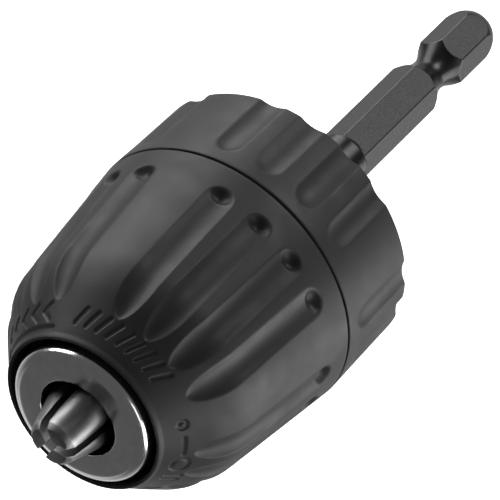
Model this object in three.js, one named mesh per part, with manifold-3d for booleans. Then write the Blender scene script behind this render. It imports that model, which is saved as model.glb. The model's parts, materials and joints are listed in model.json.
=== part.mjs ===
// Keyless three-jaw drill chuck with a quarter-inch hex shank, in millimetres, +Z up.
// The chuck axis lies along Y, nose towards -Y, and the origin is the centre of the shank's end face.
// Lengths along the axis are stations, counted from the plane where the nose ring is widest, towards the
// shank. Angles about the axis are counted from +Z towards +X, as LatheGeometry and rotations about Y do.
import * as THREE from "three";
import { mergeVertices } from "three/addons/utils/BufferGeometryUtils.js";
import { LoftGeometry } from "three/addons/geometries/LoftGeometry.js";
import Module from "manifold-3d";

const wasm = await Module();
wasm.setup();

// ---- driving dimensions ----
const SHANK_END = 87.8; // station of the shank's end face
const GAP = 0.3; // between faces that touch on the real chuck
const RUNNING = 0.25; // between a turning piece and the one it turns on
const ROUND = 48; // sides of the visible round pieces
const ROUND_INSIDE = 28; // sides of the hidden round pieces

const HEX_ACROSS_FLATS = 6.35;
const HEX_TURN = 31; // degrees, the direction that one drive flat faces

const JAW_ANGLE = 16; // degrees between a jaw and the chuck axis
const JAW_RADIUS = 2.6;
const JAW_CROSSING = -7.3; // station where the jaws' own axes cross the chuck axis at rest
const JAW_TIP = -6.3;
const JAW_REAR = 21;
const JAW_TURNS = [34, 154, 274];
const GRIP_RADIUS = 0.7; // from the chuck axis to each gripping edge at rest
const GRIP_LAND = 0.12; // half the width of the flat on each gripping edge
const TOOTH_PITCH = 1.6;
const TOOTH_DEPTH = 0.45;
const TOOTH_FRONT = 1.6; // station of the first tooth
const TOOTH_COUNT = 9;
const JAW_HOLE_REAR = 38.2; // station where the holes that the jaws slide in end

const NOSE_FACE = -0.8; // station of the nose ring's flat face
const RING_RADIUS = 9.6;
const NOSE_HOLE_RADIUS = 5.35;

const SLEEVE_FRONT = 0.3;
const SLEEVE_REAR = 29;
const SLEEVE_REAR_RADIUS = 18.95;
const SLEEVE_BORE = 15;
const NUT_FRONT = 14.5;
const NUT_REAR = 21.5;
const BALL_RADIUS = 1.15;
const BALL_CIRCLE = 13.5;
const BALL_STATION = 24.2;
const BALL_COUNT = 12;
const FLANGE_FRONT = 26.7;

const COLLAR_FRONT = 29.5;
const COLLAR_REAR = 42.55;
const COLLAR_REAR_RADIUS = 18.65;
const COLLAR_BORE = 16.35;
const COLLAR_HOLE_RADIUS = 8.2; // around the hub of the body

const FLUTE_STEP = 18; // degrees between flutes, where every fifth one is left out
const SLEEVE_FLUTE_TURN = 10.5;
const COLLAR_FLUTE_TURN = -2.5;
const FLUTE_FRONT = 4.3; // stations of the ends of the front sleeve's flutes
const FLUTE_REAR = 26.2;
const COLLAR_FLUTE_FRONT = 31.5;

// ---- worked out from them ----
const tangent = Math.tan(THREE.MathUtils.degToRad(JAW_ANGLE));
const cosine = Math.cos(THREE.MathUtils.degToRad(JAW_ANGLE));
const ALL_AROUND = 30; // longer than any piece is wide, for cutters
const jawAxisAt = (station) => (station - JAW_CROSSING) * tangent;
// the outermost line of a jaw slides along itself, so nothing inside this cone is clear of the jaws
const jawCrestAt = (station) => jawAxisAt(station) + JAW_RADIUS / cosine;

// ---- solids ----
function solid(geometry) {
  const bare = new THREE.BufferGeometry();
  bare.setAttribute("position", geometry.getAttribute("position"));
  bare.setIndex(geometry.index);
  const merged = mergeVertices(bare, 1e-4);
  const corners = merged.index.array;
  const triVerts = [];
  for (let i = 0; i < corners.length; i += 3) {
    const [a, b, c] = corners.subarray(i, i + 3);
    if (a !== b && b !== c && c !== a) triVerts.push(a, b, c);
  }
  const vertProperties = merged.attributes.position.array;
  return new wasm.Manifold(new wasm.Mesh({ numProp: 3, vertProperties, triVerts: Uint32Array.from(triVerts) }));
}

// A profile of [radius, station] corners turned about the chuck axis. It is closed unless it ends on the axis.
function revolve(profile, sides = ROUND_INSIDE) {
  const points = profile.map(([radius, station]) => new THREE.Vector2(radius, station));
  const onAxis = points[0].x === 0 && points.at(-1).x === 0;
  if (!onAxis) points.push(points[0].clone());
  const area = points.reduce((sum, p, i) => sum + p.cross(points[(i + 1) % points.length]), 0);
  if (area < 0) points.reverse();
  return solid(new THREE.LatheGeometry(points, sides));
}

// An outline in the plane across the axis, as [sideways, outward] corners, run from one station to another.
function prism(outline, from, to) {
  const shape = new THREE.Shape(outline.map(([x, y]) => new THREE.Vector2(x, y)));
  const geometry = new THREE.ExtrudeGeometry(shape, { depth: to - from, bevelEnabled: false });
  return solid(geometry.rotateX(Math.PI / 2).translate(0, to, 0));
}

const rectangle = (left, right, low, high) => [[left, low], [right, low], [right, high], [left, high]];
const ring = (inner, outer, front, rear) => [[inner, front], [outer, front], [outer, rear], [inner, rear]];

function turned(manifold, degrees) {
  return manifold.rotate([0, degrees, 0]);
}

function piece(name, manifold, material) {
  const { vertProperties, triVerts } = manifold.getMesh();
  const geometry = new THREE.BufferGeometry();
  geometry.setAttribute("position", new THREE.BufferAttribute(vertProperties, 3));
  geometry.setIndex(new THREE.BufferAttribute(triVerts, 1));
  geometry.computeVertexNormals();
  const mesh = new THREE.Mesh(geometry, material);
  mesh.name = name;
  return mesh;
}

const finish = (color, roughness, metalness) => new THREE.MeshStandardMaterial({ color, roughness, metalness });
const grip_plastic = finish(0x2b2b2d, 0.55, 0);
const polished_steel = finish(0xb9bbbe, 0.15, 1);
const bright_steel = finish(0x8f9296, 0.35, 1);
const dark_steel = finish(0x3a3b3e, 0.5, 1);

// ---- flutes ----
// A shallow scoop along the outside of a sleeve. Its sections are ellipses centred on the outer surface,
// which shrink to rounded ends. surfaceAt gives the outer radius, and depthAt the depth, at a station.
function scoop({ front, rear, halfWidth, surfaceAt, depthAt, frontRound, rearRound }) {
  const sides = 8;
  const stations = [];
  for (const t of [0, 0.5, 1]) stations.push(front + frontRound * (1 - Math.cos((t * Math.PI) / 2)));
  const straight = rear - rearRound - front - frontRound;
  stations.push(front + frontRound + straight / 2);
  for (const t of [1, 0.55, 0]) stations.push(rear - rearRound * (1 - Math.cos((t * Math.PI) / 2)));
  stations.sort((a, b) => a - b);
  const swell = (station) => {
    const ahead = Math.min(1, (station - front) / frontRound);
    const behind = Math.min(1, (rear - station) / rearRound);
    return Math.max(0.12, Math.sqrt(1 - (1 - ahead) ** 2) * Math.sqrt(1 - (1 - behind) ** 2));
  };
  const sections = stations.map((station) => {
    const width = halfWidth * swell(station);
    const depth = depthAt(station) * swell(station);
    const points = [];
    for (let i = 0; i < sides; i++) {
      const angle = (2 * Math.PI * i) / sides;
      const outward = surfaceAt(station) + depth * Math.sin(angle);
      points.push(new THREE.Vector3(width * Math.cos(angle), station, outward));
    }
    return points.reverse();
  });
  return solid(new LoftGeometry(sections, { capStart: true, capEnd: true }));
}

function fluteTurns(first) {
  const turns = [];
  for (let i = 0; i < 360 / FLUTE_STEP; i++) if (i % 5 !== 4) turns.push(first + FLUTE_STEP * i);
  return turns;
}

function fluted(blank, cutter, first) {
  return fluteTurns(first).reduce((left, degrees) => left.subtract(turned(cutter, degrees)), blank);
}

// ---- front sleeve ----
// outside: a cone behind the lip, a round shoulder, then a slight taper to the rear edge
const LIP = new THREE.Vector2(11.15, 1);
const SHOULDER_START = new THREE.Vector2(14.65, 5.6);
const SHOULDER_CORNER = new THREE.Vector2(16.66, 8.2);
const SHOULDER_END = new THREE.Vector2(17, 11);

function sleeveOutline() {
  const path = new THREE.Path();
  path.moveTo(10.5, SLEEVE_FRONT + 0.35);
  path.quadraticCurveTo(10.55, SLEEVE_FRONT, 10.85, SLEEVE_FRONT);
  path.quadraticCurveTo(11.0, SLEEVE_FRONT + 0.2, LIP.x, LIP.y);
  path.lineTo(SHOULDER_START.x, SHOULDER_START.y);
  path.quadraticCurveTo(SHOULDER_CORNER.x, SHOULDER_CORNER.y, SHOULDER_END.x, SHOULDER_END.y);
  path.lineTo(SLEEVE_REAR_RADIUS - 0.3, SLEEVE_REAR - 0.45);
  path.quadraticCurveTo(SLEEVE_REAR_RADIUS, SLEEVE_REAR - 0.2, SLEEVE_REAR_RADIUS - 0.15, SLEEVE_REAR);
  return path.getPoints(3).map((p) => [p.x, p.y]);
}

function radiusOf(outline, station) {
  const i = Math.max(1, outline.findIndex(([, s], k) => k > 2 && s >= station));
  const [[r0, s0], [r1, s1]] = [outline[i - 1], outline[i]];
  return r0 + ((r1 - r0) * (station - s0)) / (s1 - s0);
}

const LUG_TURNS = [0, 120, 240];
const LUG_HALF_WIDTH = 2;
const LUG_RADIUS = 15.3;

function frontSleeve() {
  const outline = sleeveOutline();
  const inside = [
    [SLEEVE_BORE, SLEEVE_REAR],
    [SLEEVE_BORE, NUT_FRONT - 0.8],
    [11.2, 10],
    [11.2, 3.9],
    [10.5, 3.2],
  ];
  const cutter = scoop({
    front: FLUTE_FRONT,
    rear: FLUTE_REAR,
    halfWidth: 1.9,
    frontRound: 6,
    rearRound: 1.9,
    surfaceAt: (station) => radiusOf(outline, station),
    depthAt: (station) => THREE.MathUtils.mapLinear(station, FLUTE_FRONT, FLUTE_REAR, 0.75, 1.05),
  });
  let sleeve = fluted(revolve([...outline, ...inside], ROUND), cutter, SLEEVE_FLUTE_TURN);
  const half = LUG_HALF_WIDTH + GAP;
  const keyway = prism(rectangle(-half, half, 12, LUG_RADIUS + GAP), NUT_FRONT - 0.8, SLEEVE_REAR + 1);
  for (const degrees of LUG_TURNS) sleeve = sleeve.subtract(turned(keyway, degrees));
  return sleeve;
}

// ---- rear sleeve ----
function rearSleeve() {
  const edge = 0.6;
  const outline = [
    [SLEEVE_REAR_RADIUS - 0.15, COLLAR_FRONT],
    [SLEEVE_REAR_RADIUS, COLLAR_FRONT + 0.2],
    [COLLAR_REAR_RADIUS, COLLAR_REAR - edge],
    [COLLAR_REAR_RADIUS - 0.18, COLLAR_REAR - 0.18],
    [COLLAR_REAR_RADIUS - edge, COLLAR_REAR],
  ];
  const inside = [
    [COLLAR_HOLE_RADIUS, COLLAR_REAR],
    [COLLAR_HOLE_RADIUS, COLLAR_REAR - 0.85],
    [COLLAR_BORE, COLLAR_REAR - 0.85],
    [COLLAR_BORE, COLLAR_FRONT],
  ];
  const radii = [SLEEVE_REAR_RADIUS, COLLAR_REAR_RADIUS];
  const surfaceAt = (station) => THREE.MathUtils.mapLinear(station, COLLAR_FRONT, COLLAR_REAR, ...radii);
  const cutter = scoop({
    front: COLLAR_FLUTE_FRONT,
    rear: COLLAR_REAR + 4,
    halfWidth: 1.85,
    frontRound: 2.4,
    rearRound: 1,
    surfaceAt,
    depthAt: () => 0.55,
  });
  return fluted(revolve([...outline, ...inside], ROUND), cutter, COLLAR_FLUTE_TURN);
}

// ---- chuck body ----
const SPIGOT_RADIUS = 8.4;
const SHOULDER_RADIUS = 10.8;
const BODY_FRONT = 0.4;
const SPIGOT_REAR = 3.9;
const TAIL_REAR = COLLAR_REAR - 1.15;
const GROOVE_BELOW_CREST = 0.55; // the jaws' teeth stand out of the nut groove by this much
const BIT_BORE_DEPTH = 23;
const THREAD_BORE = 4.85;
const THREAD_FRONT = 30.6;
const HUB_RADIUS = 7.9;
const HUB_REAR = 42.9;
const THROUGH_RADIUS = 2.1; // of the hole for the screw that locks the shank

// A round bar along a jaw's own line, in the plane of that line and the chuck axis. The lengths are counted
// along the line from where it crosses the chuck axis.
function jawBar(frontRadius, rearRadius, from, to) {
  const bar = new THREE.CylinderGeometry(rearRadius, frontRadius, to - from, 16);
  bar.translate(0, (from + to) / 2, 0).rotateX(THREE.MathUtils.degToRad(JAW_ANGLE));
  return solid(bar.translate(0, JAW_CROSSING, 0));
}

function jawHole() {
  const radius = JAW_RADIUS + 0.15;
  return jawBar(radius, radius, -16, 60);
}

function chuckBody() {
  const flange = SLEEVE_BORE - RUNNING;
  const tail = COLLAR_BORE - 0.15;
  const grooveAt = (station) => [jawCrestAt(station) - GROOVE_BELOW_CREST, station];
  const profile = [
    [NOSE_HOLE_RADIUS, BODY_FRONT],
    [SPIGOT_RADIUS, BODY_FRONT],
    [SPIGOT_RADIUS, SPIGOT_REAR],
    [SHOULDER_RADIUS, SPIGOT_REAR],
    [SHOULDER_RADIUS, NUT_FRONT - 0.4],
    grooveAt(NUT_FRONT - 0.4),
    grooveAt(FLANGE_FRONT),
    [flange, FLANGE_FRONT],
    [flange, COLLAR_FRONT],
    [tail, COLLAR_FRONT],
    [tail, TAIL_REAR],
    [HUB_RADIUS, TAIL_REAR],
    [HUB_RADIUS, HUB_REAR],
    [THREAD_BORE + 0.4, HUB_REAR],
    [THREAD_BORE, HUB_REAR - 0.6],
    [THREAD_BORE, THREAD_FRONT],
    [THROUGH_RADIUS, THREAD_FRONT - 1.2],
    [THROUGH_RADIUS, BIT_BORE_DEPTH + 1.5],
    [NOSE_HOLE_RADIUS, BIT_BORE_DEPTH],
  ];
  let body = revolve(profile, 32);
  const block = rectangle(-ALL_AROUND, ALL_AROUND, -ALL_AROUND, ALL_AROUND);
  const hole = jawHole().intersect(prism(block, JAW_CROSSING - 12, JAW_HOLE_REAR));
  for (const degrees of JAW_TURNS) body = body.subtract(turned(hole, degrees));
  return body;
}

// ---- jaws ----
// The three jaws differ by a third of a tooth pitch, because one thread in the nut drives them all.
function jaw(index) {
  const chamfer = 0.7;
  const rearChamfer = 0.5;
  const rearFace = (JAW_REAR - JAW_CROSSING) / cosine - 1.2;
  const bar = jawBar(JAW_RADIUS, JAW_RADIUS, -30, rearFace);
  const rearRadius = JAW_RADIUS - rearChamfer;
  const rearEnd = jawBar(rearRadius + ALL_AROUND, rearRadius, rearFace - ALL_AROUND, rearFace);
  const tipRadius = jawCrestAt(JAW_TIP + 1) - chamfer;
  const envelope = revolve(
    [
      [0, JAW_TIP],
      [tipRadius, JAW_TIP],
      [tipRadius + chamfer, JAW_TIP + 1],
      [ALL_AROUND, JAW_TIP + 4],
      [ALL_AROUND, JAW_REAR + 6],
      [0, JAW_REAR + 6],
    ],
    24,
  );
  const flank = GRIP_LAND + ALL_AROUND * Math.sqrt(3);
  const wedge = prism(
    [
      [-GRIP_LAND, GRIP_RADIUS],
      [GRIP_LAND, GRIP_RADIUS],
      [flank, GRIP_RADIUS + ALL_AROUND],
      [-flank, GRIP_RADIUS + ALL_AROUND],
    ],
    JAW_TIP - 2,
    JAW_REAR + 8,
  );
  const shaped = bar.intersect(envelope).intersect(wedge).intersect(rearEnd);
  return turned(shaped.subtract(toothComb((index * TOOTH_PITCH) / 3)), JAW_TURNS[index]);
}

// Rings of V-shaped cutting teeth around the cone of the jaws' crests.
function toothComb(shift) {
  const edge = [];
  const rows = [[0, -0.02], [0.55, TOOTH_DEPTH], [0.95, TOOTH_DEPTH], [1.5, -0.02]];
  for (let i = 0; i < TOOTH_COUNT; i++) {
    const station = TOOTH_FRONT + shift + i * TOOTH_PITCH;
    for (const [step, below] of rows) edge.push([jawCrestAt(station + step) - below, station + step]);
  }
  const last = edge.at(-1);
  return revolve([...edge, [last[0] + 3, last[1]], [edge[0][0] + 3, edge[0][1]]], 24);
}

// ---- drive nut ----
const NUT_RADIUS = 13.35;
const BAND_RADIUS = 14.75;

function nutRing() {
  const clear = 0.2;
  const thread = [];
  for (const turn of [0, 1, 2]) {
    const station = NUT_FRONT + 0.3 + turn * TOOTH_PITCH;
    thread.push([jawCrestAt(station) + clear, station]);
    thread.push([jawCrestAt(station + 0.5) + clear + TOOTH_DEPTH, station + 0.5]);
    thread.push([jawCrestAt(station + 1.0) + clear, station + 1.0]);
  }
  const profile = [
    [jawCrestAt(NUT_FRONT) + clear, NUT_FRONT],
    ...thread,
    [jawCrestAt(NUT_REAR) + clear, NUT_REAR],
    [NUT_RADIUS, NUT_REAR],
    [NUT_RADIUS, NUT_FRONT],
  ];
  return revolve(profile);
}

// The nut is cracked in two so that it can be laid into the groove of the body.
function nutHalf(side) {
  const [low, high] = side > 0 ? [GAP / 2, ALL_AROUND] : [-ALL_AROUND, -GAP / 2];
  const half = rectangle(-ALL_AROUND, ALL_AROUND, low, high);
  return nutRing().intersect(prism(half, NUT_FRONT - 1, NUT_REAR + 1));
}

function nutBand() {
  let band = revolve(ring(NUT_RADIUS + 0.15, BAND_RADIUS, NUT_FRONT - 0.2, NUT_REAR + 0.1));
  const lug = prism(
    rectangle(-LUG_HALF_WIDTH, LUG_HALF_WIDTH, BAND_RADIUS - 0.8, LUG_RADIUS),
    NUT_FRONT + 0.5,
    NUT_REAR - 0.5,
  );
  for (const degrees of LUG_TURNS) band = band.add(turned(lug, degrees));
  return band;
}

// ---- thrust bearing ----
const WASHER_RADIUS = 14.8;
const WASHER_THICKNESS = 1.15;
const WASHER_BACK = 2.4; // from the balls' plane to the back of each washer
const RACEWAY_DEPTH = 0.3;

// Each washer has a shallow raceway on the side that faces the balls: facing is 1 towards the shank.
function thrustWasher(facing) {
  const back = BALL_STATION - facing * WASHER_BACK;
  const face = back + facing * WASHER_THICKNESS;
  const groove = RACEWAY_DEPTH;
  const inner = jawCrestAt(Math.max(back, face) + 0.15) + GAP;
  return revolve([
    [inner, back],
    [WASHER_RADIUS, back],
    [WASHER_RADIUS, face],
    [BALL_CIRCLE + 0.75, face],
    [BALL_CIRCLE + 0.3, face - facing * groove],
    [BALL_CIRCLE - 0.3, face - facing * groove],
    [BALL_CIRCLE - 0.75, face],
    [inner, face],
  ]);
}

const CAGE_BORE = 12.1;

function ballCage() {
  const half = 0.4;
  const pocketRadius = BALL_RADIUS + 0.15;
  const pocket = new THREE.CylinderGeometry(pocketRadius, pocketRadius, 4, 8);
  pocket.translate(0, BALL_STATION, BALL_CIRCLE);
  const cutter = solid(pocket);
  let cage = revolve(ring(CAGE_BORE, SLEEVE_BORE - 0.2, BALL_STATION - half, BALL_STATION + half));
  for (let i = 0; i < BALL_COUNT; i++) cage = cage.subtract(turned(cutter, (360 * i) / BALL_COUNT));
  return cage;
}

function ball(index) {
  const shape = new THREE.IcosahedronGeometry(BALL_RADIUS, 1);
  return turned(solid(shape.translate(0, BALL_STATION, BALL_CIRCLE)), (360 * index) / BALL_COUNT);
}

// ---- nose ring ----
function noseRing() {
  const skirt = SPIGOT_RADIUS + 0.15;
  const path = new THREE.Path();
  path.moveTo(NOSE_HOLE_RADIUS + 0.15, NOSE_FACE);
  path.lineTo(8.2, NOSE_FACE);
  path.quadraticCurveTo(RING_RADIUS, NOSE_FACE, RING_RADIUS, 0.3);
  path.lineTo(RING_RADIUS, 3.4);
  const outside = path.getPoints(3).map((p) => [p.x, p.y]);
  const inside = [[skirt, 3.4], [skirt, 0.1], [NOSE_HOLE_RADIUS, 0.1], [NOSE_HOLE_RADIUS, NOSE_FACE + 0.15]];
  return revolve([...outside, ...inside], ROUND);
}

// ---- shank ----
const FLANGE_RADIUS = 5.6;
const FLANGE_REAR = 46.6;
const STUB_RADIUS = 4.62;
const STUB_FRONT = 31.4;
const STUB_THREAD_PITCH = 1.058; // 24 to the inch
const ROUND_SHANK_RADIUS = 3.66; // of the round length between the flange and the flats
const FLATS_FRONT = 56.9;
const HEX_CORNER_RADIUS = 3.62; // the corners of the hexagon are broken to this radius
const DETENT = { front: 73.1, low: 76.3, rear: 79.6, radius: 2.35 };
const CROWN_FRONT = 85.4; // station where the crowned end starts

function shankAdapter() {
  const rod = [[0, STUB_FRONT], [STUB_RADIUS - 0.5, STUB_FRONT]];
  for (let i = 0; i < 5; i++) {
    const station = STUB_FRONT + 0.6 + i * STUB_THREAD_PITCH;
    rod.push([STUB_RADIUS, station], [STUB_RADIUS, station + 0.3], [STUB_RADIUS - 0.42, station + 0.65]);
  }
  rod.push([STUB_RADIUS, HUB_REAR - 0.9], [STUB_RADIUS, HUB_REAR + GAP], [FLANGE_RADIUS, HUB_REAR + GAP]);
  rod.push([FLANGE_RADIUS, FLANGE_REAR], [FLANGE_RADIUS - 0.6, FLANGE_REAR + 0.6]);
  rod.push([ROUND_SHANK_RADIUS + 0.3, FLANGE_REAR + 1.2], [ROUND_SHANK_RADIUS, FLANGE_REAR + 2]);
  rod.push([ROUND_SHANK_RADIUS, FLATS_FRONT], [2.95, FLATS_FRONT + 1], [0, FLATS_FRONT + 1]);
  const round = revolve(rod, 20);
  const bar = [[0, 44], [HEX_CORNER_RADIUS, 44], [HEX_CORNER_RADIUS, DETENT.front]];
  const neck = new THREE.Path();
  neck.moveTo(HEX_CORNER_RADIUS, DETENT.front);
  neck.quadraticCurveTo(2.55, DETENT.front + 1.2, DETENT.radius, DETENT.low);
  neck.quadraticCurveTo(2.55, DETENT.rear - 1.2, HEX_CORNER_RADIUS, DETENT.rear);
  bar.push(...neck.getPoints(3).slice(1).map((p) => [p.x, p.y]));
  bar.push([HEX_CORNER_RADIUS, CROWN_FRONT], [3.25, CROWN_FRONT + 1.4], [2.5, SHANK_END], [0, SHANK_END]);
  const corners = [];
  for (let i = 0; i < 6; i++) {
    const angle = THREE.MathUtils.degToRad(HEX_TURN + 30 + 60 * i);
    const reach = HEX_ACROSS_FLATS / Math.sqrt(3);
    corners.push([reach * Math.sin(angle), reach * Math.cos(angle)]);
  }
  return revolve(bar, 24).intersect(prism(corners.reverse(), 43, SHANK_END + 1)).add(round);
}

// ---- the chuck ----
const chuck = new THREE.Group();
chuck.position.y = -SHANK_END;
chuck.add(piece("front_sleeve", frontSleeve(), grip_plastic));
chuck.add(piece("rear_sleeve", rearSleeve(), grip_plastic));
chuck.add(piece("nose_ring", noseRing(), polished_steel));
chuck.add(piece("chuck_body", chuckBody(), dark_steel));
chuck.add(piece("shank_adapter", shankAdapter(), dark_steel));
JAW_TURNS.forEach((_, i) => chuck.add(piece(`jaw_${i + 1}`, jaw(i), polished_steel)));
chuck.add(piece("nut_half_1", nutHalf(1), dark_steel));
chuck.add(piece("nut_half_2", nutHalf(-1), dark_steel));
chuck.add(piece("nut_band", nutBand(), bright_steel));
chuck.add(piece("nut_thrust_washer", thrustWasher(1), bright_steel));
chuck.add(piece("body_thrust_washer", thrustWasher(-1), bright_steel));
chuck.add(piece("ball_cage", ballCage(), bright_steel));
for (let i = 0; i < BALL_COUNT; i++) {
  chuck.add(piece(`bearing_ball_${String(i + 1).padStart(2, "0")}`, ball(i), polished_steel));
}

const group = new THREE.Group();
group.add(chuck);

export default group;
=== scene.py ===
"""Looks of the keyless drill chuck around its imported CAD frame.

The chuck axis lies along Y, nose towards -Y. A station is a distance in millimetres along the axis from
the plane where the nose ring is widest. A turn is an angle about the axis in degrees, from +Z towards +X.
"""
import json
import math

import bmesh
import bpy
import numpy as np
from mathutils import Matrix, Vector


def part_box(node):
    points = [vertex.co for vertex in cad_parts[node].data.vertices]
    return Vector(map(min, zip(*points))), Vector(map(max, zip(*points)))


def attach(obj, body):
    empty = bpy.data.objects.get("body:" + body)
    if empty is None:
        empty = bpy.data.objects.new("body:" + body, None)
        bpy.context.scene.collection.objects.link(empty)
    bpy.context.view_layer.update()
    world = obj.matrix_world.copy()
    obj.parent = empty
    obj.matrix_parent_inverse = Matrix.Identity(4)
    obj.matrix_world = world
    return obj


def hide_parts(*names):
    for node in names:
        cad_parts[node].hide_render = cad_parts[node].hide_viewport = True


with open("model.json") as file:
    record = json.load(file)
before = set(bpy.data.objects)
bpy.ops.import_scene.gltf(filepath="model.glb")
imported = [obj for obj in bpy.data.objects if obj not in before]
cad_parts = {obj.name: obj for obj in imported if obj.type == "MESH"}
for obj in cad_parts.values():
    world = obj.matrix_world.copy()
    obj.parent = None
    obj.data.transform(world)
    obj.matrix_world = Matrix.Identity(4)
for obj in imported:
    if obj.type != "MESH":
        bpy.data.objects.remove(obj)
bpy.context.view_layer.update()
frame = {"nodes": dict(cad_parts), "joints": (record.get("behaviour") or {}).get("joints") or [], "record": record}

MM = 0.001
NOSE_FACE = -0.8
nose_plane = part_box("nose_ring")[0].y / MM - NOSE_FACE
joints = {j["name"]: j for j in frame["joints"]}


# ---- meshes ----
def new_object(name, vertices, faces):
    mesh = bpy.data.meshes.new(name)
    mesh.from_pydata(vertices, [], faces)
    mesh.update()
    obj = bpy.data.objects.new(name, mesh)
    bpy.context.scene.collection.objects.link(obj)
    return obj


def smooth(obj, angle):
    """Shades a mesh smooth, with a crisp edge wherever two faces meet at more than that angle."""
    obj.data.shade_smooth()
    obj.data.set_sharp_from_angle(angle=math.radians(angle))
    mark_edge_wear_and_glint(obj.data)


def mark_edge_wear_and_glint(mesh):
    """Stores how much each vertex stands out from its neighbours, for the materials' lighter outer edges, which
    are partly rubbed wear and partly a painted edge highlight.
    """
    count = len(mesh.vertices)
    places = np.empty(count * 3, np.float32)
    normals = np.empty(count * 3, np.float32)
    edges = np.empty(len(mesh.edges) * 2, np.int32)
    mesh.vertices.foreach_get("co", places)
    mesh.vertex_normals.foreach_get("vector", normals)
    mesh.edges.foreach_get("vertices", edges)
    places, normals, edges = places.reshape(-1, 3), normals.reshape(-1, 3), edges.reshape(-1, 2)
    edge_wear_and_glint, links = np.zeros(count), np.zeros(count)
    for here, there in ((0, 1), (1, 0)):
        vertex = edges[:, here]
        step = places[vertex] - places[edges[:, there]]
        step /= np.linalg.norm(step, axis=1, keepdims=True) + 1e-12
        np.add.at(edge_wear_and_glint, vertex, (step * normals[vertex]).sum(1))
        np.add.at(links, vertex, 1)
    edge_wear_and_glint /= np.maximum(links, 1)
    around = np.zeros(count)
    for here, there in ((0, 1), (1, 0)):
        np.add.at(around, edges[:, here], edge_wear_and_glint[edges[:, there]])
    edge_wear_and_glint = 0.5 * (edge_wear_and_glint + around / np.maximum(links, 1))
    attribute = mesh.attributes.new("edge_wear_and_glint", "FLOAT", "POINT")
    attribute.data.foreach_set("value", edge_wear_and_glint.astype(np.float32))


def point(radius, station, turn):
    """Arrays of radius, station and turn as one array of points in metres."""
    angle = np.radians(turn)
    x, y, z = np.broadcast_arrays(radius * np.sin(angle), station + nose_plane, radius * np.cos(angle))
    return np.stack([x, y, z], -1) * MM


def shell(name, radii, stations, turns):
    """A closed skin of rows of points around the axis. radii is rows by turns, and a row of zeros is a pole.
    With no pole the rows close on themselves, as a ring's section does."""
    rows, count = radii.shape
    cloud = point(radii, np.asarray(stations)[:, None], np.asarray(turns)[None, :])
    poles = radii.max(axis=1) < 1e-9
    vertices, start = [], []
    for i in range(rows):
        start.append(len(vertices))
        vertices.extend(cloud[i][:1].tolist() if poles[i] else cloud[i].tolist())
    faces = []
    pairs = [(i, i + 1) for i in range(rows - 1)]
    if not poles.any():
        pairs.append((rows - 1, 0))
    for low, high in pairs:
        for j in range(count):
            k = (j + 1) % count
            a, b = start[low] + (0 if poles[low] else j), start[low] + (0 if poles[low] else k)
            c, d = start[high] + (0 if poles[high] else k), start[high] + (0 if poles[high] else j)
            corners = list(dict.fromkeys((a, b, c, d)))
            if len(corners) > 2:
                faces.append(corners)
    obj = new_object(name, vertices, faces)
    face_outwards(obj)
    return obj


def face_outwards(obj):
    """Turns every face of a closed mesh outwards."""
    bm = bmesh.new()
    bm.from_mesh(obj.data)
    bmesh.ops.recalc_face_normals(bm, faces=bm.faces)
    if bm.calc_volume(signed=True) < 0:
        bmesh.ops.reverse_faces(bm, faces=bm.faces)
    bm.to_mesh(obj.data)
    bm.free()


def even_turns(count):
    return np.arange(count) * 360 / count


def turned(name, profile, count=192):
    """A solid of revolution. profile is a list of (radius, station)."""
    radius, station = np.array(profile, float).T
    return shell(name, np.repeat(radius[:, None], count, 1), station, even_turns(count))


def arc(centre, radius, start, end, steps=6):
    """Points of a round edge in the (radius, station) plane; angles from +radius towards +station."""
    angles = np.radians(np.linspace(start, end, steps))
    return [(centre[0] + radius * math.cos(a), centre[1] + radius * math.sin(a)) for a in angles]


def curve(start, corner, end, steps):
    """Points of a quadratic curve in the (radius, station) plane, without its first point."""
    start, corner, end = np.array(start), np.array(corner), np.array(end)
    t = np.linspace(0, 1, steps + 1)[1:, None]
    return [tuple(p) for p in (1 - t) ** 2 * start + 2 * t * (1 - t) * corner + t**2 * end]


def boolean(obj, other, operation):
    """Cuts or joins obj by other, and removes other."""
    modifier = obj.modifiers.new("boolean", "BOOLEAN")
    modifier.operation = operation
    modifier.solver = "EXACT"
    modifier.object = other
    apply_modifiers(obj)
    bpy.data.objects.remove(other)


def apply_modifiers(obj):
    """Replaces a mesh by what its modifiers make of it."""
    bpy.context.view_layer.update()
    evaluated = obj.evaluated_get(bpy.context.evaluated_depsgraph_get())
    mesh = bpy.data.meshes.new_from_object(evaluated)
    obj.modifiers.clear()
    obj.data = mesh


def bevel(obj, width):
    """Rounds the sharp edges of obj. Blender narrows the bevel where edges are short."""
    modifier = obj.modifiers.new("bevel", "BEVEL")
    modifier.width = width * MM
    modifier.segments = 2
    modifier.limit_method = "ANGLE"
    modifier.angle_limit = math.radians(35)
    apply_modifiers(obj)


def place(obj, body, slot, material, *nodes):
    """Gives a finished piece its material and its body, and hides the CAD nodes that it stands for."""
    obj.data.materials.clear()
    obj.data.materials.append(material)
    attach(obj, body)
    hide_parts(*nodes)
    return obj


# ---- flutes ----
FLUTE_STEP = 18
FLUTE_GROUP = 5  # four flutes and a plain strip as wide as one
FLUTE_LIP = 0.14  # mm over which a flute's lip is softened


def flute_turns(first):
    """Sixteen flutes in four groups of four."""
    return [first + FLUTE_STEP * i for i in range(360 // FLUTE_STEP) if i % FLUTE_GROUP != FLUTE_GROUP - 1]


def soft_floor(value, softness):
    """Zero below zero and value above it, with a rounded corner."""
    return 0.5 * (value + np.sqrt(value**2 + softness**2)) - 0.5 * softness


def scoop(across, half_width, depth):
    """Depth of a groove whose section is an arc of that half width and depth, with softened lips."""
    half_width = np.maximum(half_width, 0.05)
    depth = np.maximum(depth, 1e-3)
    bend = (half_width**2 + depth**2) / (2 * depth)
    inside = np.clip(bend**2 - across**2, 0, None)
    reach = np.sqrt(inside) - (bend - depth)
    reach = np.where(np.abs(across) < bend, reach, -half_width)
    return np.clip(soft_floor(reach, FLUTE_LIP), 0, None)


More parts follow.
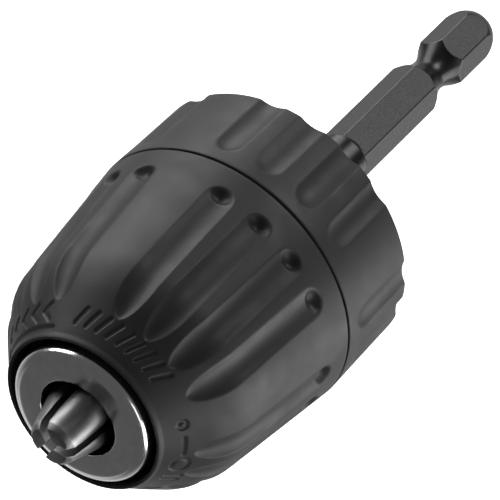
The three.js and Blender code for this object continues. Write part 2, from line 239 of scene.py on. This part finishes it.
def round_end(distance, length):
    """From 0 at the end to 1 one length further in, as a quarter of an ellipse."""
    inward = np.clip(distance / length, 0, 1)
    return np.sqrt(1 - (1 - inward) ** 2)


def flute_depth(radii, stations, turns, first, half_width, depth_at, front, rear, front_round, rear_round):
    """How far the flutes cut into a surface, rows by turns."""
    station = np.asarray(stations)[:, None]
    taper = round_end(station - front, front_round) * round_end(rear - station, rear_round)
    total = np.zeros((len(stations), len(turns)))
    for centre in flute_turns(first):
        offset = (np.asarray(turns)[None, :] - centre + 180) % 360 - 180
        across = np.radians(offset) * radii
        total = np.maximum(total, scoop(across, half_width * taper, depth_at(station) * taper))
    return np.where((station > front) & (station < rear), total, 0)


# ---- marks pressed into the nose of the front sleeve ----
MARK_RADIUS = 12.7  # mm, radius at the middle of the band of marks
MARK_SLOPE = 1.27  # length along the nose cone for each millimetre of station
MARK_HALF_LINE = 0.2
MARK_DEPTH = 0.2
MARK_EDGE = 0.14  # mm from the floor of a mark to its lip
MARK_BAND = (2.3, 3.95)  # stations between which the marks stand
RING_STATION = 3.1
ARROW_STATION = 1.5
ARROW_TURNS = (-25, -79)  # tail and tip
CHEVRON_TURNS = (-72, -62, -52, -42, -32)
TICK_TURNS = range(-8, 50, 7)
RINGS = ((79, 0.5), (109, 1.1))  # turn and radius of a ring for the smallest tool and one for the largest
DASH_TURNS = (88, 100)
SHORT_TICK_TURNS = (120, 125, 141, 146)


def to_segment(x, y, start, end):
    """Distance from points to a line segment."""
    (ax, ay), (bx, by) = start, end
    dx, dy = bx - ax, by - ay
    t = np.clip(((x - ax) * dx + (y - ay) * dy) / (dx * dx + dy * dy), 0, 1)
    return np.hypot(x - ax - t * dx, y - ay - t * dy)


def mark_strokes():
    """Strokes of the marks as (start, end), in millimetres around and along the cone."""
    around = math.radians(1) * MARK_RADIUS
    low, high = MARK_BAND[0] * MARK_SLOPE, MARK_BAND[1] * MARK_SLOPE
    middle = (low + high) / 2
    shaft = ARROW_STATION * MARK_SLOPE
    tail, tip = ARROW_TURNS[0] * around, ARROW_TURNS[1] * around
    strokes = [((tail, shaft), (tip, shaft))]
    strokes += [((tip, shaft), (tip + 0.8, shaft + side)) for side in (-0.6, 0.6)]
    for turn in CHEVRON_TURNS:
        x = turn * around
        strokes += [((x - 0.55, middle), (x + 0.55, low)), ((x - 0.55, middle), (x + 0.55, high))]
    for turn in TICK_TURNS:
        x = turn * around
        strokes.append(((x - 0.45, low), (x + 0.45, high)))
    strokes.append(((DASH_TURNS[0] * around, middle), (DASH_TURNS[1] * around, middle)))
    for turn in SHORT_TICK_TURNS:
        x = turn * around
        strokes.append(((x, low), (x, high)))
    return strokes


def mark_depth(stations, turns):
    """How deep the marks are, rows by turns."""
    around = math.radians(1) * MARK_RADIUS
    y = np.asarray(stations)[:, None] * MARK_SLOPE
    x = ((np.asarray(turns)[None, :] + 180) % 360 - 180) * around
    nearest = np.full(np.broadcast(x, y).shape, 9.0)
    for start, end in mark_strokes():
        nearest = np.minimum(nearest, to_segment(x, y, start, end))
    for turn, radius in RINGS:
        from_middle = np.hypot(x - turn * around, y - RING_STATION * MARK_SLOPE)
        nearest = np.minimum(nearest, np.abs(from_middle - radius))
    return MARK_DEPTH * np.clip((MARK_HALF_LINE + MARK_EDGE - nearest) / MARK_EDGE, 0, 1)


# ---- front sleeve ----
SLEEVE_BORE = 15.0
LIP_END = (11.2, 1.0)  # radius and station, as for the next two
CONE_END = (14.65, 5.6)
WIDEST = (17.0, 11.0)
KEYWAY_TURNS = (0, 120, 240)
LUG_HALF_WIDTH = 2.3
SLEEVE_FLUTE_TURN = 10.5
POCKET_ROWS = (22.6, 27)  # stations between which the rows are twice as close
POCKET_STATION = 25.05
POCKET_HALF_LENGTH = 1.1
POCKET_HALF_WIDTH = 1.6
POCKET_DEPTH = 0.7
SEAM_CLOSED_BY = 0.12  # mm by which each sleeve reaches into the seam between them
MARKED_TURNS = ((-82, -23), (-11, 50), (74, 150))
FINE_STEP = 0.4
COARSE_STEP = 0.8


def sleeve_turns():
    """Turns of the sleeve's columns, closer together where the marks are."""
    turns, turn = [], -180.0
    while turn < 180 - 1e-6:
        turns.append(turn)
        turn += FINE_STEP if any(low <= turn < high for low, high in MARKED_TURNS) else COARSE_STEP
    return np.array(turns)


def straight(start, end, steps):
    """Points of a line in the (radius, station) plane, without its first point."""
    return [tuple(p) for p in np.linspace(start, end, steps + 1)[1:]]


def sleeve_profile():
    """Outside of the sleeve from the lip to the rear edge, and then its inside, as (radius, station)."""
    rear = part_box("front_sleeve")[1].y / MM - nose_plane + SEAM_CLOSED_BY
    rear_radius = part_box("rear_sleeve")[1].x / MM
    lip = [(10.5, 1.4), (10.5, 0.8)] + curve((10.5, 0.75), (10.52, 0.3), (10.83, 0.3), 5)
    lip += curve((10.83, 0.3), (11.05, 0.35), LIP_END, 5)
    cone = straight(LIP_END, CONE_END, 37)
    shoulder = curve(CONE_END, (16.66, 8.2), WIDEST, 16)
    taper_end = (rear_radius - 0.06, rear - 0.2)
    taper = straight(WIDEST, taper_end, 45)
    pockets = [p for p in taper if POCKET_ROWS[0] < p[1] < POCKET_ROWS[1]]
    taper = sorted(set(taper) | set(between(pockets)), key=lambda p: p[1])
    edge = curve(taper_end, (rear_radius - 0.04, rear - 0.01), (rear_radius - 0.25, rear), 4)
    inside = [(SLEEVE_BORE, rear), (SLEEVE_BORE, 13.9), (11.3, 10.2), (11.3, 4.0), (10.6, 3.3)]
    return lip + cone + shoulder + taper + edge, inside


def between(points):
    """Points halfway between each two neighbours."""
    return [((a[0] + b[0]) / 2, (a[1] + b[1]) / 2) for a, b in zip(points, points[1:])]


def keyway(turns):
    """1 at the columns where the sleeve's bore is wider for a lug of the nut, and 0 elsewhere."""
    wide = np.zeros(len(turns))
    for turn in KEYWAY_TURNS:
        offset = (turns - turn + 180) % 360 - 180
        wide[np.abs(np.radians(offset)) * SLEEVE_BORE < LUG_HALF_WIDTH] = 1
    return wide


def pocket_depth(radii, stations, turns):
    """The deeper thumb pocket at the rear end of each flute."""
    along = (np.asarray(stations)[:, None] - POCKET_STATION) / POCKET_HALF_LENGTH
    total = np.zeros(radii.shape)
    for centre in flute_turns(SLEEVE_FLUTE_TURN):
        offset = (np.asarray(turns)[None, :] - centre + 180) % 360 - 180
        across = np.radians(offset) * radii / POCKET_HALF_WIDTH
        bowl = 1 - along**2 - across**2
        total = np.maximum(total, POCKET_DEPTH * soft_floor(bowl, 0.25))
    return total


def sleeve_flute_depth(station):
    """The sleeve's flutes get shallower towards the rear."""
    return 0.85 - 0.32 * np.clip((station - 8) / 12, 0, 1)


def front_sleeve(material):
    """The grip, with its flutes, thumb pockets, marks, and keyways for the nut."""
    outside, inside = sleeve_profile()
    turns = sleeve_turns()
    radius, station = np.array(outside).T
    base = np.repeat(radius[:, None], len(turns), 1)
    cut = flute_depth(base, station, turns, first=SLEEVE_FLUTE_TURN, half_width=1.95,
                      depth_at=sleeve_flute_depth, front=4.3, rear=26.0, front_round=4.6, rear_round=1.6)
    cut = cut + pocket_depth(base, station, turns)
    base = base - np.maximum(cut, mark_depth(station, turns))
    inner = np.array(inside)
    inner_radii = np.repeat(inner[:, :1], len(turns), 1)
    for row in (0, 1):
        inner_radii[row] += 0.6 * keyway(turns)
    radii = np.vstack([base, inner_radii])
    obj = shell("grip_sleeve", radii, np.concatenate([station, inner[:, 1]]), turns)
    smooth(obj, 50)
    return place(obj, "sleeve", "grip_plastic", material, "front_sleeve")


# ---- rear sleeve ----
COLLAR_FLUTE_TURN = -2.5
COLLAR_TAPER = 0.3  # mm of radius lost from front to rear
COLLAR_EDGE = 0.55
COLLAR_BORE = 16.4
COLLAR_FLUTE_DEPTH = 0.55


def collar_flute_depth(station):
    """The collar's flutes are equally deep all along."""
    return np.full_like(station, COLLAR_FLUTE_DEPTH)


def rear_sleeve(material):
    """The collar, with flutes that run out through its rear edge."""
    low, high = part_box("rear_sleeve")
    front, rear = low.y / MM - nose_plane - SEAM_CLOSED_BY, high.y / MM - nose_plane
    wide = high.x / MM
    narrow, edge = wide - COLLAR_TAPER, COLLAR_EDGE
    start = [(wide - 0.25, front)] + curve((wide - 0.25, front), (wide - 0.01, front), (wide, front + 0.2), 4)
    side = straight((wide, front + 0.2), (narrow, rear - edge), 39)
    end = arc((narrow - edge, rear - edge), edge, 0, 90, 8)[1:]
    face = straight((narrow - edge, rear), (COLLAR_BORE, rear), 4)
    turns = even_turns(540)
    radius, station = np.array(start + side + end + face).T
    base = np.repeat(radius[:, None], len(turns), 1)
    cut = flute_depth(base, station, turns, first=COLLAR_FLUTE_TURN, half_width=1.85,
                      depth_at=collar_flute_depth, front=front + 2, rear=rear + 9,
                      front_round=2.0, rear_round=1)
    keep = np.clip((base - 16.6) / 1.0, 0, 1)
    base = base - cut * keep
    inner = np.array([(9.3, rear), (9.3, rear - 0.25), (8.2, rear - 0.25), (8.2, rear - 0.8),
                      (COLLAR_BORE, rear - 0.8), (COLLAR_BORE, front)])
    radii = np.vstack([base, np.repeat(inner[:, :1], len(turns), 1)])
    obj = shell("collar", radii, np.concatenate([station, inner[:, 1]]), turns)
    smooth(obj, 50)
    return place(obj, "chuck_root", "grip_plastic", material, "rear_sleeve")


# ---- nose ring ----
BIT_BORE = 5.35  # radius of the hole that the jaws come through


def nose_ring(material):
    """The ring pressed onto the body's nose, with a flat face and a rolled rim."""
    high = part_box("nose_ring")[1]
    outer = high.x / MM
    rear = high.y / MM - nose_plane
    hole, face = BIT_BORE, NOSE_FACE
    face_edge, rim_start = (8.15, face), (8.6, face + 0.12)
    profile = [(hole, 0.05), (hole, face + 0.2)]
    profile += arc((hole + 0.2, face + 0.2), 0.2, 180, 270, 6)[1:]
    profile += [(hole + 0.7, face), (7.0, face), face_edge]
    profile += curve(face_edge, (8.45, face + 0.02), rim_start, 5)
    profile += curve(rim_start, (outer - 0.02, face + 0.35), (outer, 0.35), 12)
    profile += [(outer, rear), (8.6, rear), (8.6, 0.05)]
    obj = turned("nose_cap", profile, 256)
    smooth(obj, 40)
    return place(obj, "chuck_root", "nose_steel", material, "nose_ring")


# ---- jaws ----
JAW_TURNS = (34, 154, 274)
JAW_RADIUS = 2.6
JAW_CROSSING = -7.3  # station where a jaw's own axis crosses the chuck axis
JAW_TIP = -6.3
JAW_BORE_END = 21.0  # station that a jaw's axis reaches, before its rear end is cut back
JAW_CUT_BACK = 1.2
JAW_REAR_EDGE = 0.5
GRIP_RADIUS = 0.7  # from the chuck axis to each gripping edge
GRIP_LAND = 0.12  # half the width of the flat on each gripping edge
HALF_WEDGE = 57  # degrees, three less than would close the jaws flank to flank
TIP_CONE = ((1.35, -0.2), (2.6, 2.35))  # radius and distance along the jaw's own axis
TOOTH_PITCH = 1.6
TOOTH_DEPTH = 0.45
TOOTH_COUNT = 9
FIRST_TOOTH = 1.6


def jaw_frame(turn, angle):
    """Turns a rod that was made along the chuck axis into a jaw's place."""
    lean = Matrix.Rotation(angle, 4, "X")
    crossing = Matrix.Translation((0, (JAW_CROSSING + nose_plane) * MM, 0))
    return Matrix.Rotation(math.radians(turn), 4, "Y") @ crossing @ lean


def cut_by_plane(obj, where, normal):
    """Removes what lies on the normal's side of a plane, and closes the cut."""
    bm = bmesh.new()
    bm.from_mesh(obj.data)
    geometry = bm.verts[:] + bm.edges[:] + bm.faces[:]
    made = bmesh.ops.bisect_plane(bm, geom=geometry, plane_co=where, plane_no=normal, clear_outer=True)
    rim = [e for e in made["geom_cut"] if isinstance(e, bmesh.types.BMEdge)]
    bmesh.ops.holes_fill(bm, edges=rim, sides=0)
    bm.to_mesh(obj.data)
    bm.free()


def jaw_angle(index):
    """How far a jaw's own axis leans from the chuck axis."""
    return math.acos(Vector(joints[f"jaw_{index + 1}_slide"]["axis"]).y)


def jaw_blank(index, angle):
    """A round rod with a conical tip, in a jaw's place."""
    rear = (JAW_BORE_END - JAW_CROSSING) / math.cos(angle) - JAW_CUT_BACK
    rod = [(0, TIP_CONE[0][1]), *TIP_CONE, (JAW_RADIUS, 4)]
    rod += [(JAW_RADIUS, rear - JAW_REAR_EDGE), (JAW_RADIUS - JAW_REAR_EDGE, rear), (0, rear)]
    radius, station = np.array(rod, float).T
    turns = even_turns(96)
    radii = np.repeat(radius[:, None], len(turns), 1)
    obj = shell(f"gripping_jaw_{index + 1}", radii, station - nose_plane, turns)
    obj.data.transform(jaw_frame(JAW_TURNS[index], angle))
    return obj


def jaw(index, material):
    """A jaw: the blank, with its gripping wedge, flat end and teeth cut."""
    angle = jaw_angle(index)
    obj = jaw_blank(index, angle)
    facing = Matrix.Rotation(math.radians(JAW_TURNS[index]), 3, "Y")
    outward, across = facing @ Vector((0, 0, 1)), facing @ Vector((1, 0, 0))
    edge = outward * GRIP_RADIUS * MM
    half_wedge = math.radians(HALF_WEDGE)
    for side in (-1, 1):
        flank = across * side * math.cos(half_wedge) - outward * math.sin(half_wedge)
        cut_by_plane(obj, edge + across * side * GRIP_LAND * MM, flank)
    cut_by_plane(obj, edge, -outward)
    cut_by_plane(obj, Vector((0, (JAW_TIP + nose_plane) * MM, 0)), Vector((0, -1, 0)))
    boolean(obj, tooth_comb(angle, index * TOOTH_PITCH / 3), "DIFFERENCE")
    bevel(obj, 0.11)
    smooth(obj, 17)
    return place(obj, f"jaw_{index + 1}", "jaw_steel", material, f"jaw_{index + 1}")


def crest(station, angle):
    """Radius of a jaw's outermost line at a station."""
    return (station - JAW_CROSSING) * math.tan(angle) + JAW_RADIUS / math.cos(angle)


def tooth_comb(angle, shift):
    """Rings that cut the teeth on the outside of a jaw."""
    profile = []
    for i in range(TOOTH_COUNT):
        base = FIRST_TOOTH + shift + i * TOOTH_PITCH
        for step, cut in ((0, -0.02), (0.55, TOOTH_DEPTH), (0.95, TOOTH_DEPTH), (1.5, -0.02)):
            profile.append((crest(base + step, angle) - cut, base + step))
    first, last = profile[0], profile[-1]
    profile += [(last[0] + 3, last[1]), (first[0] + 3, first[1])]
    return turned("comb", profile, 128)


# ---- chuck body ----
NUT_GROOVE = (14.1, 26.7)
JAW_CLEARANCE = 0.15


def chuck_body(material):
    """The body that carries the jaws in three slanted holes, and the shank in its rear thread."""
    low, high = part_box("chuck_body")
    front, hub = low.y / MM - nose_plane, high.y / MM - nose_plane
    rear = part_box("rear_sleeve")[1].y / MM - nose_plane - 1.15
    angle = jaw_angle(0)
    nose = [(BIT_BORE, front), (8.4, front), (8.4, 3.9), (10.8, 3.9), (10.8, NUT_GROOVE[0])]
    groove = [(crest(s, angle) - 0.55, s) for s in NUT_GROOVE]
    shoulder = [(14.75, NUT_GROOVE[1]), (14.75, 29.5), (16.2, 29.5), (16.2, rear), (7.9, rear)]
    hub_face = [(7.9, hub - 0.3), (7.6, hub), (5.25, hub), (4.85, hub - 0.6)]
    bores = [(4.85, 30.6), (2.1, 29.4), (2.1, 24.5), (BIT_BORE, 23)]
    obj = turned("chuck_core", nose + groove + shoulder + hub_face + bores, 192)
    bore = JAW_RADIUS + JAW_CLEARANCE
    for turn in JAW_TURNS:
        hole = turned("jaw_hole", [(0, -20), (bore, -20), (bore, 45), (0, 45)], 64)
        hole.data.transform(Matrix.Translation((0, -nose_plane * MM, 0)))
        hole.data.transform(jaw_frame(turn, angle))
        boolean(obj, hole, "DIFFERENCE")
    smooth(obj, 30)
    return place(obj, "chuck_root", "body_steel", material, "chuck_body")


# ---- hex shank ----
HEX_ACROSS_FLATS = 6.35
HEX_TURN = 31
HEX_CORNER = 3.61
STUB_RADIUS = 4.6
FLANGE = (43.15, 46.6)
FLANGE_FULL = (43.4, 46.4)  # stations between which the flange has its full radius
FLANGE_RADIUS = 5.6
FILLET_END = 48.6
FILLET_RADIUS = 5.4  # from the axis, where the fillet meets the flange
ROUND_SHANK = 3.66
HEX_START = 50
RUN_OUT = 56.75  # station where the round length starts to fall away below the flats
RUN_OUT_SLOPE = 0.62
DETENT = (73.1, 76.35, 79.6)
DETENT_RADIUS = 2.33
CROWN_FRONT = 85.4
CROWN_RADIUS = 2.6


def shank_stations(start, end):
    """Stations of the rows, close together where the shape changes quickly."""
    spans = [(start, 43.1, 12), (43.2, 46.4, 8), (46.5, 48.8, 26), (49.4, 56.4, 8), (56.6, 58.3, 32)]
    spans += [(58.8, 72.6, 20), (72.8, 80.0, 80), (80.4, 85.0, 10), (85.2, end, 40)]
    return np.concatenate([np.linspace(*span) for span in spans])


def bar_radius(station, end):
    """The round blank that the hexagon is milled on, with its detent groove and crowned end."""
    if station < HEX_START:
        return 0.0
    radius = HEX_CORNER
    front, low, rear = DETENT
    if front < station < rear:
        away = abs(station - low) / (low - front)
        radius = DETENT_RADIUS + (HEX_CORNER + 0.02 - DETENT_RADIUS) * away**1.9
    if station > CROWN_FRONT:
        t = (station - CROWN_FRONT) / (end - CROWN_FRONT)
        radius = HEX_CORNER - (HEX_CORNER - CROWN_RADIUS) * (0.35 * t + 0.65 * t**2.2)
    return min(radius, HEX_CORNER)


def stub_radius(station):
    """The threaded stub inside the body, its flange, and the round length that the flats run out into."""
    front, rear = FLANGE
    if station < front:
        return STUB_RADIUS
    if station < rear:
        return FLANGE_RADIUS - max(0, station - FLANGE_FULL[1]) - max(0, FLANGE_FULL[0] - station)
    if station < FILLET_END:
        t = (station - rear) / (FILLET_END - rear)
        return ROUND_SHANK + (FILLET_RADIUS - ROUND_SHANK) * (1 - math.sqrt(1 - (1 - t) ** 2))
    if station < RUN_OUT:
        return ROUND_SHANK
    return ROUND_SHANK - (station - RUN_OUT) * RUN_OUT_SLOPE


def mark_turned(mesh):
    """Stores 1 at the vertices that a lathe cut, and 0 on the drawn flats of the hexagon."""
    attribute = mesh.attributes.new("turned", "FLOAT", "POINT")
    for vertex, value in zip(mesh.vertices, attribute.data):
        x, _, z = vertex.co / MM
        offset = (math.degrees(math.atan2(x, z)) - HEX_TURN + 30) % 60 - 30
        from_flat = abs(math.hypot(x, z) * math.cos(math.radians(offset)) - HEX_ACROSS_FLATS / 2)
        value.value = min(1, from_flat / 0.02)


def shank(material):
    """The adapter: a stub and flange inside the collar, a round neck, and the hexagonal shank."""
    low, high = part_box("shank_adapter")
    start, end = low.y / MM - nose_plane, high.y / MM - nose_plane
    turns = even_turns(360) + HEX_TURN
    offset = (turns - HEX_TURN + 30) % 60 - 30
    flat = HEX_ACROSS_FLATS / 2 / np.cos(np.radians(offset))
    stations = shank_stations(start, end)
    radii = [np.maximum(np.minimum(bar_radius(s, end), flat), stub_radius(s)) for s in stations]
    closed = np.vstack([0 * flat, radii, 0 * flat])
    obj = shell("hex_shank", closed, np.concatenate([[start], stations, [end]]), turns)
    mark_turned(obj.data)
    smooth(obj, 26)
    return place(obj, "chuck_root", "shank_steel", material, "shank_adapter")


# ---- materials ----
def node_material(name):
    """A new material, with its nodes, its links and its shader."""
    material = bpy.data.materials.new(name)
    material.use_nodes = True
    nodes = material.node_tree.nodes
    return material, nodes, material.node_tree.links, nodes["Principled BSDF"]


def noise(nodes, links, scale, detail=4, stretch=(1, 1, 1)):
    """Noise in object space. scale is in waves per metre, and stretch squeezes it along an axis."""
    coordinates = nodes.new("ShaderNodeTexCoord")
    mapping = nodes.new("ShaderNodeMapping")
    mapping.inputs["Scale"].default_value = stretch
    texture = nodes.new("ShaderNodeTexNoise")
    texture.inputs["Scale"].default_value = scale
    texture.inputs["Detail"].default_value = detail
    links.new(coordinates.outputs["Object"], mapping.inputs["Vector"])
    links.new(mapping.outputs["Vector"], texture.inputs["Vector"])
    return texture.outputs["Fac"]


def ramp(nodes, links, factor, low, high, start=0.3, end=0.7):
    """A factor turned into a colour or grey between low and high."""
    node = nodes.new("ShaderNodeValToRGB")
    node.color_ramp.elements[0].position = start
    node.color_ramp.elements[1].position = end
    for element, value in zip(node.color_ramp.elements, (low, high)):
        element.color = (*value, 1) if isinstance(value, tuple) else (value, value, value, 1)
    links.new(factor, node.inputs["Fac"])
    return node.outputs["Color"]


def bump(nodes, links, height, strength, distance):
    """A normal that follows the height; distance is in metres."""
    node = nodes.new("ShaderNodeBump")
    node.inputs["Strength"].default_value = strength
    node.inputs["Distance"].default_value = distance
    links.new(height, node.inputs["Height"])
    return node.outputs["Normal"]


def mix(nodes, links, factor, a, b):
    """Colour a where the factor is 0, and b where it is 1."""
    node = nodes.new("ShaderNodeMix")
    node.data_type = "RGBA"
    links.new(factor, node.inputs["Factor"])
    for value, socket in ((a, node.inputs["A"]), (b, node.inputs["B"])):
        if isinstance(value, tuple):
            socket.default_value = (*value, 1)
        else:
            links.new(value, socket)
    return node.outputs["Result"]


def stored(nodes, name):
    """A value that was stored at the vertices."""
    attribute = nodes.new("ShaderNodeAttribute")
    attribute.attribute_name = name
    return attribute.outputs["Fac"]


def worn_and_glinting_edges(nodes, links, start, end):
    """Grey that is white on outer edges: partly rubbed wear, partly a painted edge highlight."""
    return ramp(nodes, links, stored(nodes, "edge_wear_and_glint"), 0.0, 1.0, start, end)


def grip_plastic():
    """Glass-filled nylon: charcoal, with an eggshell grain, faint cloudiness and lighter outer edges, which are
    partly worn and partly a painted edge highlight.
    """
    material, nodes, links, shader = node_material("grip_plastic")
    cloud = ramp(nodes, links, noise(nodes, links, 90), (0.019, 0.019, 0.0197), (0.025, 0.025, 0.0257))
    # Lighter outer edges: partly rubbed wear, partly a painted edge highlight.
    rubbed_and_glinting = mix(nodes, links, worn_and_glinting_edges(nodes, links, 0.05, 0.3), cloud, (0.04, 0.04, 0.041))
    shader.inputs["Specular IOR Level"].default_value = 0.34
    links.new(rubbed_and_glinting, shader.inputs["Base Color"])
    rough = ramp(nodes, links, noise(nodes, links, 320, 6), 0.44, 0.56)
    links.new(rough, shader.inputs["Roughness"])
    grain = noise(nodes, links, 3600, 2)
    links.new(bump(nodes, links, grain, 0.22, 0.00004), shader.inputs["Normal"])
    return material


def steel(name, dark, light, rough, streak=(1, 1, 1), scale=900, edge=None):
    """Metal with a streaked finish. rough is (low, high), and edge is the colour of its outer edges, which are
    partly rubbed wear and partly a painted edge highlight.
    """
    material, nodes, links, shader = node_material(name)
    shader.inputs["Metallic"].default_value = 1.0
    lines = noise(nodes, links, scale, 5, streak)
    colour = ramp(nodes, links, lines, dark, light)
    # Lighter outer edges: partly rubbed wear, partly a painted edge highlight.
    if edge is not None:
        colour = mix(nodes, links, worn_and_glinting_edges(nodes, links, 0.08, 0.25), colour, edge)
    links.new(colour, shader.inputs["Base Color"])
    links.new(ramp(nodes, links, noise(nodes, links, 260, 4), *rough), shader.inputs["Roughness"])
    links.new(bump(nodes, links, lines, 0.05, 0.00002), shader.inputs["Normal"])
    return material


def make_materials():
    """The materials by their slots."""
    return {
        "grip_plastic": grip_plastic(),
        "nose_steel": steel("nose_steel", (0.8, 0.8, 0.805), (0.88, 0.88, 0.885), (0.16, 0.22)),
        # The jaws' near-white edges are partly rubbed wear and mostly a painted highlight on their thin chamfers.
        "jaw_steel": steel("jaw_steel", (0.21, 0.21, 0.214), (0.27, 0.27, 0.275), (0.36, 0.46),
                           streak=(1, 0.15, 1), scale=1500, edge=(0.8, 0.8, 0.81)),
        "shank_steel": shank_steel(),
        "body_steel": steel("body_steel", (0.05, 0.05, 0.052), (0.09, 0.09, 0.093), (0.35, 0.5)),
        "bearing_steel": steel("bearing_steel", (0.42, 0.42, 0.43), (0.5, 0.5, 0.51), (0.15, 0.25)),
    }


def shank_steel():
    """Phosphated steel: the drawn flats have fine light specks, what a lathe cut is darker and smoother, and
    the edges are lighter, partly rubbed bright and partly a painted edge highlight."""
    material, nodes, links, shader = node_material("shank_steel")
    shader.inputs["Metallic"].default_value = 0.85
    speck = noise(nodes, links, 9000, 1)
    flats = ramp(nodes, links, speck, (0.042, 0.042, 0.043), (0.1, 0.1, 0.102), 0.3, 0.75)
    cloud = noise(nodes, links, 500, 3)
    lathe_cut = ramp(nodes, links, cloud, (0.028, 0.028, 0.029), (0.042, 0.042, 0.043))
    by_lathe = stored(nodes, "turned")
    finish = mix(nodes, links, by_lathe, flats, lathe_cut)
    # Lighter edges: partly rubbed wear, partly a painted highlight on the broken corners.
    rubbed_and_glinting = mix(nodes, links, worn_and_glinting_edges(nodes, links, 0.05, 0.16), finish, (0.2, 0.2, 0.204))
    links.new(rubbed_and_glinting, shader.inputs["Base Color"])
    roughness = mix(nodes, links, by_lathe, (0.55, 0.55, 0.55), (0.3, 0.3, 0.3))
    links.new(roughness, shader.inputs["Roughness"])
    links.new(bump(nodes, links, speck, 0.12, 0.00002), shader.inputs["Normal"])
    return material


def paint_inner_parts(materials):
    """Gives each CAD node that is still shown its material."""
    slots = {s["node"]: s["material_slot"] for s in frame["record"]["subparts"]}
    for node, obj in frame["nodes"].items():
        if obj.hide_render:
            continue
        obj.data.materials.clear()
        obj.data.materials.append(materials[slots[node]])


# ---- stage ----
CAMERA_AZIMUTH = 33.76
CAMERA_ELEVATION = 41.0
AIM_OFFSET = (0.046, -0.03)  # mm off the chuck axis, along X and Z
CAMERA_DISTANCE = 0.766
CAMERA_LENS = 451.4
AIM_STATION = 36.0
LIGHTS_AIM_STATION = 20
FLOOR_LEVEL = -0.3  # metres, as for the next three
FLOOR_RADIUS = 2.2
WALL_CURL = 1.2
WALL_TOP = 4.0


def direction(azimuth, elevation):
    """Unit vector from the object towards a viewer at that azimuth and elevation."""
    a, e = math.radians(azimuth), math.radians(elevation)
    return Vector((math.sin(a) * math.cos(e), -math.cos(a) * math.cos(e), math.sin(e)))


def camera():
    """The camera, ahead of the nose, above it and on its +X side."""
    aim = Vector((AIM_OFFSET[0], AIM_STATION + nose_plane, AIM_OFFSET[1])) * MM
    data = bpy.data.cameras.new("camera")
    data.lens = CAMERA_LENS
    data.sensor_width = 36
    data.clip_start = 0.01
    data.clip_end = 20
    obj = bpy.data.objects.new("camera", data)
    obj.location = aim + direction(CAMERA_AZIMUTH, CAMERA_ELEVATION) * CAMERA_DISTANCE
    obj.rotation_euler = (aim - obj.location).to_track_quat("-Z", "Y").to_euler()
    bpy.context.scene.collection.objects.link(obj)
    bpy.context.scene.camera = obj


def softbox(name, azimuth, elevation, distance, size, watts):
    """A rectangular light that points at the sleeve; distance and size are in metres."""
    aim = Vector((0, (LIGHTS_AIM_STATION + nose_plane) * MM, 0))
    data = bpy.data.lights.new(name, "AREA")
    data.shape = "RECTANGLE"
    data.size, data.size_y = size
    data.energy = watts
    obj = bpy.data.objects.new(name, data)
    obj.location = aim + direction(azimuth, elevation) * distance
    obj.rotation_euler = (aim - obj.location).to_track_quat("-Z", "Y").to_euler()
    bpy.context.scene.collection.objects.link(obj)


def floor_section():
    """Half the floor's section as (radius, height), from near the middle to the top of the wall."""
    angles = np.linspace(0, math.pi / 2, 9)
    section = [(0.3, FLOOR_LEVEL)]
    for a in angles:
        section.append((FLOOR_RADIUS + WALL_CURL * math.sin(a), FLOOR_LEVEL + WALL_CURL * (1 - math.cos(a))))
    section.append((FLOOR_RADIUS + WALL_CURL, WALL_TOP))
    return section


def floor():
    """A round floor of pale paper that curves up into a wall all the way round. Only the camera sees it."""
    section = floor_section()
    count = 48
    corners = [(0, 0, FLOOR_LEVEL)]
    for radius, z in section:
        for k in range(count):
            turn = 2 * math.pi * k / count
            corners.append((radius * math.cos(turn), radius * math.sin(turn), z))
    faces = [(0, 1 + k, 1 + (k + 1) % count) for k in range(count)]
    for row in range(len(section) - 1):
        low = 1 + row * count
        for k in range(count):
            following = (k + 1) % count
            faces.append((low + k, low + count + k, low + count + following, low + following))
    obj = new_object("floor", corners, faces)
    obj.data.shade_smooth()
    material, nodes, links, shader = node_material("floor_paper")
    tone = ramp(nodes, links, noise(nodes, links, 3), 0.94, 0.96)
    links.new(tone, shader.inputs["Base Color"])
    shader.inputs["Roughness"].default_value = 0.9
    shader.inputs["Specular IOR Level"].default_value = 0.0
    shader.inputs["Emission Color"].default_value = (1, 1, 1, 1)
    shader.inputs["Emission Strength"].default_value = 0.9
    obj.data.materials.append(material)
    obj.visible_glossy = False
    obj.visible_diffuse = False
    obj.visible_shadow = False


def lights():
    """Two long soft boxes, on the -X side above and on the +X side below, a weak one above the rear, and a
    small card on the +X side."""
    softbox("left_softbox", -112, 41, 0.6, (0.95, 0.36), 4.8)
    softbox("right_softbox", 101, -28, 0.55, (0.8, 0.36), 3.6)
    softbox("top_softbox", 146, 42, 0.9, (0.4, 0.4), 2.8)
    softbox("front_card", 64, 6, 0.7, (0.15, 0.3), 0.35)
    studio_world()
    bpy.context.scene.view_settings.view_transform = "Standard"


def studio_world():
    """A room that is bright behind the object and dim on the camera's side."""
    world = bpy.data.worlds.new("studio")
    world.use_nodes = True
    nodes, links = world.node_tree.nodes, world.node_tree.links
    coordinates = nodes.new("ShaderNodeTexCoord")
    facing = nodes.new("ShaderNodeVectorMath")
    facing.operation = "DOT_PRODUCT"
    facing.inputs[1].default_value = -direction(CAMERA_AZIMUTH, CAMERA_ELEVATION)
    links.new(coordinates.outputs["Generated"], facing.inputs[0])
    glow = ramp(nodes, links, facing.outputs["Value"], 0.09, 0.7, 0.35, 0.85)
    links.new(glow, nodes["Background"].inputs["Color"])
    nodes["Background"].inputs["Strength"].default_value = 1.0
    bpy.context.scene.world = world


def main():
    materials = make_materials()
    front_sleeve(materials["grip_plastic"])
    rear_sleeve(materials["grip_plastic"])
    nose_ring(materials["nose_steel"])
    for index in range(3):
        jaw(index, materials["jaw_steel"])
    chuck_body(materials["body_steel"])
    shank(materials["shank_steel"])
    paint_inner_parts(materials)
    camera()
    lights()
    floor()


main()
